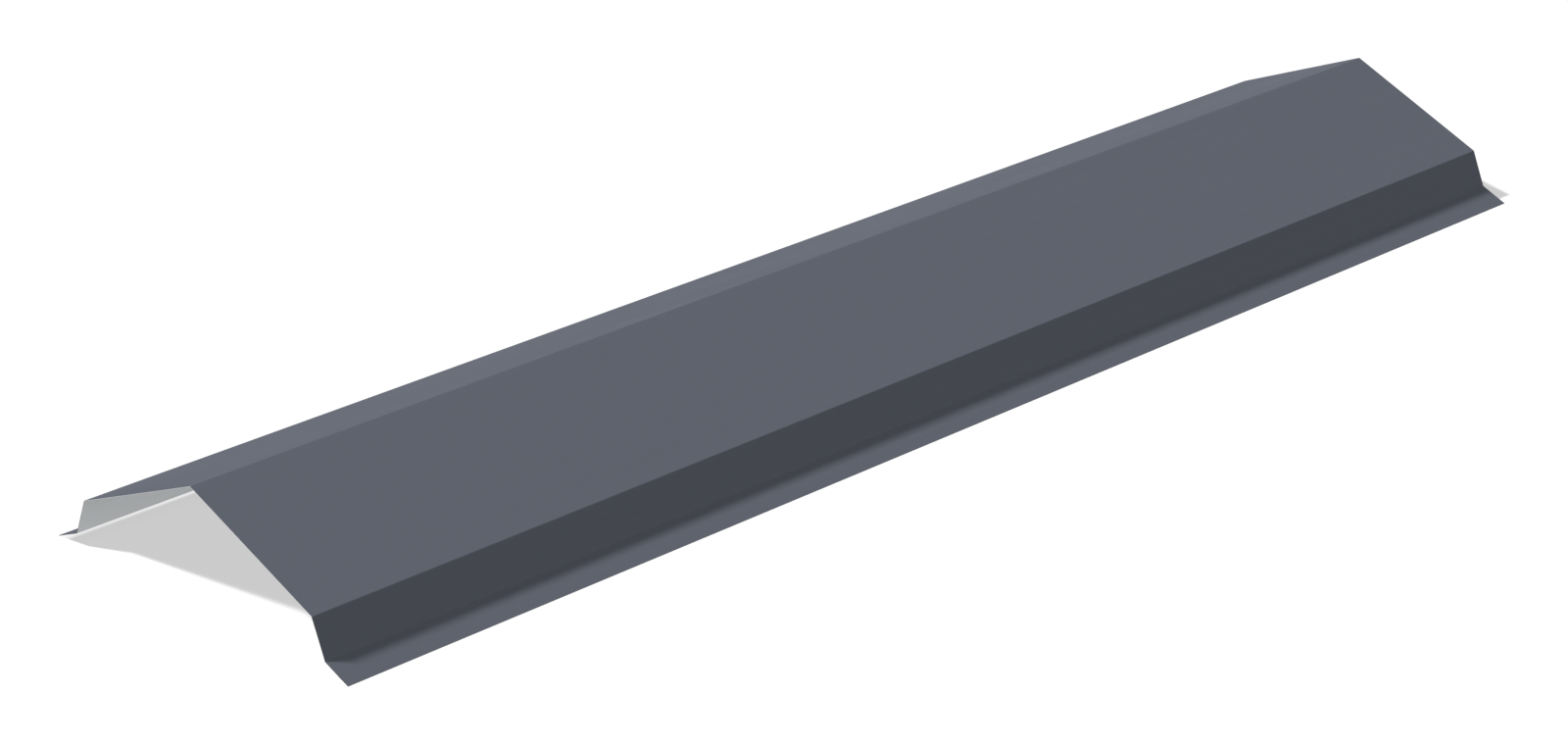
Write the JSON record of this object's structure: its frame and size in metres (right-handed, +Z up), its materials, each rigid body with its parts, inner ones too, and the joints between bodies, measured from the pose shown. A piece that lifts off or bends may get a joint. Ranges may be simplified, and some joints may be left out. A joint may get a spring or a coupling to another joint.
{
  "type": "sheet metal roof ridge cap",
  "caption": "Straight folded sheet-steel ridge cap: two slopes, stepped risers and outward fixing flanges that cover the peak of a pitched metal roof.",
  "frame": {"origin": "on the floor under the middle of the cap, which is the bottom centre of its box", "axes": "+Y along the ridge, +X square to the ridge towards one flange, +Z up from the floor to the ridge"},
  "size_m": [0.5186, 2, 0.1461],
  "materials": {
    "coated_steel": "satin"
  },
  "bodies": {
    "root": {"ridge_cap_sheet": "coated_steel"}
  },
  "joints": []
}
